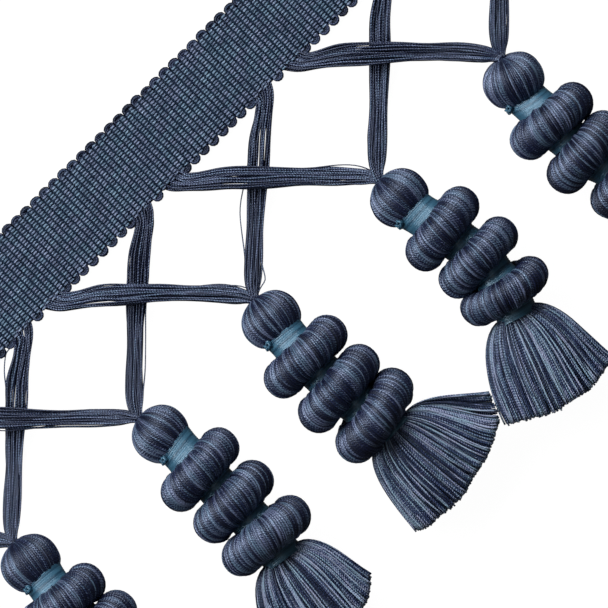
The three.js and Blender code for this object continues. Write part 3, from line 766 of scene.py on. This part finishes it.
def skirt(tassel):
    """The cut brush: separate strands round a core of the same shape, which stands for the inner ones.

    A strand leaves the round neck, runs as a cubic Bezier in plan, and its height changes with the
    share of its length to the power DROOP, over a low hump of one sine. Where the binding draws the
    upper strands in, they dip by a bell curve. w runs from -1 on the left to 1 on the right, and the
    strands lie closer at both edges, as round the neck. Towards the hem the strands draw together in
    clumps: w changes by a sine of itself. The short ends lie in the cut face as seeds do in a
    sunflower: each a golden angle on from the last, at the square root of its share of them all.
    """
    node = f"skirt_{tassel}"
    shape = SKIRTS[tassel - 1]
    neck, axis = end_face(node, 1)
    right, up = across(axis)
    rng = np.random.default_rng(700 + tassel)

    def way(degrees):
        """Direction in plan that is some degrees to the right of straight down the tassel."""
        return np.stack([np.sin(np.radians(degrees)), -np.cos(np.radians(degrees))], -1)

    def strands(w, high, s):
        """Middle lines [strand, step], for places w across and high up the neck, at shares s."""
        start = neck + NECK * (w[:, None] * right + high[:, None] * up) + axis * 1.0
        waved = np.sin(2 * np.pi * CLUMPS * w + tassel)
        clumped = np.clip(w + CLUMPED / (2 * np.pi * CLUMPS) * waved, -1, 1)
        ends = zip(shape["left"], shape["middle"], shape["right"])
        hem = np.stack([bowed(clumped, *points) for points in ends], -1)
        cut = np.clip((clumped - CUT_FROM) / (1 - CUT_FROM), 0, 1)[:, None]
        hem = hem * (1 - cut) + np.array(shape["tip"]) * cut
        end = np.stack([station_x(tassel) + hem[:, 0], hem[:, 1], HEM_HEIGHT / 2 * (1 + high)], -1)
        reach = np.linalg.norm((end - start)[:, :2], axis=1)[:, None]
        out = start[:, :2] + TURN_OUT * reach * way(w * np.where(w < 0, *shape["flare"]))
        back = end[:, :2] - TURN_IN * reach * way(bowed(w, *shape["flick"]))
        t = s[None, :, None]
        plan = (start[:, None, :2] * (1 - t)**3 + 3 * out[:, None] * t * (1 - t)**2
                + 3 * back[:, None] * t**2 * (1 - t) + end[:, None, :2] * t**3)
        height = start[:, 2:] + (end - start)[:, 2:] * s**DROOP + HUMP * np.sin(np.pi * s)
        height = height - WAIST * np.clip(high, 0, 1)[:, None] * np.exp(-(s / WAIST_REACH)**2)
        return np.concatenate([plan, height[..., None]], -1)

    def cut_yarns(w, high, s, number, thickness):
        """Yarns along the strands, cut a little uneven, each wandering more the looser it is."""
        count = len(w)
        paths = strands(w, high, s)
        cut = rng.normal(0, 0.007, count) + 0.01 * np.sin(w * 9 + tassel) - UNDERCUT * (1 - high)
        cut = cut[:, None, None]
        paths += (paths - neck) * cut * s[None, :, None] ** 2
        loose = s * (1 - 0.3 * s)
        paths[..., 0] += (0.3 * waves(rng, count, s, 1.2) + 0.1 * waves(rng, count, s, 3.0)) * loose
        paths[..., 2] += (0.3 * waves(rng, count, s, 1.4) + 0.28 * waves(rng, count, s, 3.2)) * loose
        paths[..., 2] = np.maximum(paths[..., 2], YARN / 2)
        return yarn_tubes(paths, YARN / 2 * thickness, number, from_end=True)

    w, high = [], []
    for count, share, side in STRAND_LAYERS:
        even = np.linspace(-0.97, 0.97, count)
        spread = 0.6 * even + 0.4 * np.sin(np.pi / 2 * even)
        spread += rng.normal(0, 0.01, count) * (1 - spread**2)
        w.append(spread * (0.7 + 0.3 * share))
        high.append(side * share * np.sqrt(1 - np.abs(spread)**3) * (1 - 0.14 * rng.random(count)))
    tip_strands = int(math.dist(shape["tip"], shape["right"]) / TIP_PITCH)
    w.append(np.linspace(CUT_FROM - 0.12, 1, tip_strands))
    high.append(rng.uniform(-0.3, 0.6, tip_strands))
    s = np.linspace(0, 1, 15)
    first = SKIRT_NUMBERS + SKIRT_EACH * tassel
    outer = cut_yarns(np.concatenate(w), np.concatenate(high), s, first, STRAND_WIDTH)
    k = np.arange(INNER_ENDS)
    angle = GOLDEN_ANGLE * k + rng.normal(0, 0.05, INNER_ENDS)
    share = 0.9 * np.sqrt((k + rng.uniform(0, 1, INNER_ENDS)) / INNER_ENDS)
    near_hem = np.linspace(0.86, 1, 3)
    short = cut_yarns(share * np.cos(angle), share * np.sin(angle), near_hem, first + ENDS_FROM, END_WIDTH)
    angle = np.arange(CORE_COLUMNS) * 2 * np.pi / CORE_COLUMNS
    core = strands(0.95 * np.cos(angle), 0.86 * np.sin(angle), s).transpose(1, 0, 2)
    core = core[0] + (core - core[0]) * CORE_LENGTH
    numbers = first + CORE_FROM + np.arange(CORE_COLUMNS + 1)
    v = np.repeat(CORE_V_LENGTH * (s[:, None] - 1) - CORE_V_SHORT, CORE_COLUMNS + 1, 1)
    inner = wound_skin(core, numbers, v)
    return make_piece(f"cut_skirt_{tassel}", *joined([outer, short, inner]), cut_yarn, [node], "yarn")


# -------- hanks

# A hank's middle line from the heading's edge down to the knot. along and down are measured from the
# station that it leaves, and turn is the angle of its width in degrees. under is the height of a hank
# that runs left, and over that of one that runs right, which crosses on top.
HANK_ROWS = [
    # along, down, turn, half width, half depth, under, over
    (5.4, 9.9, 0, 3.4, 0.30, 1.1, 1.1),
    (6.3, 11.5, 4, 3.3, 0.34, 1.1, 1.1),
    (7.5, 13.5, 20, 2.6, 0.42, 1.2, 1.6),
    (10.3, 15.8, 40, 2.4, 0.6, 1.3, 2.6),
    (15.5, 19.7, 47, 2.8, 0.7, 1.3, 4.2),
    (20.9, 24.7, 46, 2.8, 0.7, 1.3, 4.9),
    (27.3, 30.5, 45, 2.4, 0.7, 1.6, 5.0),
    (33.0, 35.9, 45, 2.1, 0.75, 3.2, 5.4),
    (39.0, 41.5, 42, 2.3, 0.8, 6.2, 7.0),
    (43.4, 46.0, 34, 2.15, 0.85, 9.0, 9.2),
]
HANK_START = 11.45  # distance down at which the free part of a hank starts
KNOT_ALONG, KNOT_DOWN = TASSEL_PITCH - 1.2, 49.0  # the knot that these rows lead to
# How far a hank lies aside of its line (positive towards +X) near the heading and near the ball, and its
# share of the usual width at both, for the hank that runs right and the one that runs left.
SWAYS = [
    ((0.0, 0.0), (-1.2, 0.9)),
    ((0.0, -0.8), (-0.5, 0.0)),
    ((0.8, 0.9), (0.3, 0.3)),
    ((0.2, -0.1), (-0.2, 0.8)),
    ((1.1, 1.1), (0.0, 0.2)),
]
SPREADS = [
    ((1.0, 1.0), (1.0, 1.0)),
    ((1.0, 0.9), (1.08, 0.92)),
    ((1.03, 0.93), (1.12, 0.92)),
    ((1.05, 1.15), (0.9, 1.2)),
    ((1.0, 1.25), (1.0, 1.15)),
]
HANK_YARNS, HANK_LAYERS = 30, 3
HANK_STEPS = 48
# Yarns that have come loose: tassel, side (as for hank), yarn, from and to (shares of the length), and
# how far the yarn bows out, in millimetres, positive towards +X.
LOOSE_YARNS = [
    (3, -1, 0, 0.45, 0.74, -2.1),
    (3, 1, 29, 0.76, 0.96, 0.7),
    (3, -1, 29, 0.74, 0.93, 1.5),
    (1, -1, 0, 0.10, 0.42, -2.0),
    (2, 1, 1, 0.30, 0.62, -0.9),
    (4, 1, 29, 0.62, 0.90, 0.8),
    (2, -1, 29, 0.5, 0.8, 0.8),
]


def hank(tassel, side):
    """Loose parallel yarns, in three layers, that spread at the heading and draw in to the knot.

    A yarn lies at a share of the bundle's width and depth, and both drift along it as slow waves.
    side is 1 where the hank runs towards +X on its way down.
    """
    middle, axis = ball_place(tassel)
    right = across(axis)[0]
    pole = middle + axis * BALL_TOP
    aim = pole + axis * 1.0 - side * 1.15 * right  # what the slanting rows run towards
    knot = pole + axis * 0.5 - side * 0.5 * right  # where the hank is drawn tight
    inside = pole - axis * 1.2  # its hidden end, under the ball's yarns
    origin = station_x(tassel - side)
    table = np.array(HANK_ROWS)
    share = np.clip((table[:, 1] - HANK_START) / (KNOT_DOWN - HANK_START), 0, 1)

    def between(near_heading, near_ball):
        """A value at every row, which goes evenly from near the heading to near the ball."""
        return near_heading + (near_ball - near_heading) * share

    bow = np.sin(np.pi * share)
    sway = between(*SWAYS[tassel - 1][side < 0]) * bow / math.sqrt(2)
    wider = 1 + (between(*SPREADS[tassel - 1][side < 0]) - 1) * bow
    x = origin + side * table[:, 0] + share * (aim[0] - origin - side * KNOT_ALONG) + sway
    y = -table[:, 1] + share * (aim[1] + KNOT_DOWN) + side * sway
    z = table[:, 6 if side > 0 else 5]
    rows = np.stack([x, y, z, table[:, 2], table[:, 3] * wider, table[:, 4]], -1)
    rows = np.concatenate([rows, [[*knot, 0, 1.4, 0.7]], [[*inside, 0, 0.8, 0.5]]])
    line = smooth_rows(rows, HANK_STEPS)
    s = np.linspace(0, 1, len(line))
    turn = np.radians(line[:, 3])
    width = np.stack([np.cos(turn), side * np.sin(turn), 0 * turn], -1)
    rng = np.random.default_rng(900 + tassel * 2 + (side > 0))
    number = np.arange(HANK_YARNS)
    level = number % HANK_LAYERS
    lane = (number // HANK_LAYERS + (level + 0.5) / HANK_LAYERS) / (HANK_YARNS / HANK_LAYERS) * 2 - 1
    aside = lane[:, None] + 0.09 * waves(rng, HANK_YARNS, s, 1.6) + 0.06 * waves(rng, HANK_YARNS, s, 5)
    layer = level[:, None] - 1 + 0.6 * waves(rng, HANK_YARNS, s, 1.5) + 0.3 * waves(rng, HANK_YARNS, s, 5)
    paths = (line[None, :, :3] + (aside * line[:, 4])[..., None] * width
             + (layer * line[:, 5])[..., None] * (0.0, 0.0, 1.0))
    radius = np.full((HANK_YARNS, len(s)), YARN / 2)
    for which, from_side, loose, start, stop, out in LOOSE_YARNS:
        if (which, from_side) == (tassel, side):
            part = np.clip((s - start) / (stop - start), 0, 1)
            paths[loose] += (out * np.sin(np.pi * part) ** 1.5)[:, None] * width
            radius[loose] *= 1 - 0.45 * np.sin(np.pi * part) ** 0.5
    paths[..., 2] = np.maximum(paths[..., 2], YARN / 2)
    piece = yarn_tubes(paths, radius, HANK_NUMBERS + HANK_EACH * (2 * tassel + (side > 0)))
    name, node = ("hank_right", f"hank_right_{tassel}") if side > 0 else ("hank_left", f"hank_left_{tassel}")
    return make_piece(f"{name}_yarns_{tassel}", *piece, hank_yarn, [node], "yarn")


# -------- assembly

cloth = heading_cloth()
on_cloth = [warp_floats(1), warp_floats(-1), edge_loops()]
for tassel in range(1, TASSELS + 1):
    ball(tassel)
    for number in (1, 2, 3):
        ring(tassel, number)
    for number in (1, 2, 3, 4):
        binding(tassel, number)
    skirt(tassel)
    hank(tassel, 1)
    hank(tassel, -1)

# -------- floor, light and camera


def pale_floor():
    """A plain pale board well past everything, just under the trim. Its even glow lights nothing else."""
    reach, level = 4.0, -0.0002
    mesh = bpy.data.meshes.new("floor")
    corner_ways = [(-1, -1), (1, -1), (1, 1), (-1, 1)]
    mesh.from_pydata([(x * reach, y * reach, level) for x, y in corner_ways], [], [(0, 1, 2, 3)])
    floor = bpy.data.objects.new("floor", mesh)
    bpy.context.scene.collection.objects.link(floor)
    board = bpy.data.materials.new("matt_white_board")
    board.use_nodes = True
    shader = board.node_tree.nodes["Principled BSDF"]
    shader.inputs["Base Color"].default_value = linear("#3c3c3c")
    shader.inputs["Roughness"].default_value = 0.9
    shader.inputs["Emission Color"].default_value = (1, 1, 1, 1)
    shader.inputs["Emission Strength"].default_value = 0.98
    mesh.materials.append(board)
    floor.visible_diffuse = False
    floor.visible_glossy = False


def softbox(name, place, target, width, height, power):
    """A rectangular area light that faces a target. Metres and watts."""
    light = bpy.data.lights.new(name, "AREA")
    light.shape = "RECTANGLE"
    light.size, light.size_y, light.energy = width, height, power
    lamp = bpy.data.objects.new(name, light)
    bpy.context.scene.collection.objects.link(lamp)
    lamp.location = place
    lamp.rotation_mode = "QUATERNION"
    lamp.rotation_quaternion = (Vector(target) - Vector(place)).to_track_quat("-Z", "Y")


def long_lens_camera():
    """Straight above, with the heading running from lower left to upper right.

    width is what the picture takes in at the height level, in metres. lens and sensor are in millimetres.
    """
    lens, sensor, width, level = 900.0, 36.0, 0.1666, 0.006
    data = bpy.data.cameras.new("camera")
    data.lens, data.sensor_width = lens, sensor
    camera = bpy.data.objects.new("camera", data)
    bpy.context.scene.collection.objects.link(camera)
    camera.location = (0.0073, -0.0605, level + width * lens / sensor)
    camera.rotation_euler = (0.0, 0.0, math.radians(-45))
    bpy.context.scene.camera = camera


def dim_room(strength):
    """Weak, even light from all round."""
    world = bpy.data.worlds.new("dim_room")
    bpy.context.scene.world = world
    world.use_nodes = True
    background = world.node_tree.nodes["Background"]
    background.inputs["Color"].default_value = (1, 1, 1, 1)
    background.inputs["Strength"].default_value = strength


MIDDLE = (0.0, -0.06, 0.0)  # of the trim, which both lights face
pale_floor()
softbox("key", (-0.07, 0.568, 0.683), MIDDLE, 2.8, 0.3, 26.6)
softbox("overhead", (-0.18, 0.0, 0.9), MIDDLE, 0.35, 0.35, 0.35)
long_lens_camera()
dim_room(0.05)
bpy.context.scene.view_settings.view_transform = "Standard"
